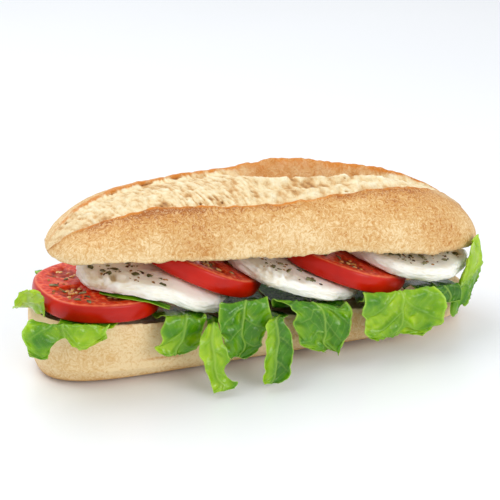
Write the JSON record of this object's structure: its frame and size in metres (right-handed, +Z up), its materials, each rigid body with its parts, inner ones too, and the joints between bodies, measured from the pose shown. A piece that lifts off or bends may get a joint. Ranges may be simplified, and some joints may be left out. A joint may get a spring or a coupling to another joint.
{
  "type": "submarine sandwich",
  "caption": "Split crusty roll with an open top score, filled with leaning tomato and mozzarella slices sprinkled with herbs on ruffled lettuce leaves.",
  "frame": {"origin": "on the flat sole of the lower bun, under the middle of its length and width", "axes": "+X along the roll towards its right end as the picture shows it, -Y towards the viewer (the front, where the filling hangs out), +Z up"},
  "size_m": [0.265, 0.1142, 0.0971],
  "materials": {
    "crust": "matt golden bread crust; stands in for bread",
    "tomato": "moist glossy red; stands in for tomato",
    "mozzarella": "moist satin off-white; stands in for mozzarella",
    "lettuce": "satin leaf green; stands in for lettuce"
  },
  "bodies": {
    "root": {"bun_lower": "crust", "bun_upper": "crust", "tomato_1": "tomato", "tomato_2": "tomato", "tomato_3": "tomato", "mozzarella_1": "mozzarella", "mozzarella_2": "mozzarella", "mozzarella_3": "mozzarella", "lettuce_left_front": "lettuce", "lettuce_left_end": "lettuce", "lettuce_on_tomato": "lettuce", "lettuce_under_cheese": "lettuce", "lettuce_centre": "lettuce", "lettuce_long_tip": "lettuce", "lettuce_fold": "lettuce", "lettuce_right_centre": "lettuce", "lettuce_broad": "lettuce", "lettuce_right_end": "lettuce", "lettuce_right_front": "lettuce"}
  },
  "joints": []
}
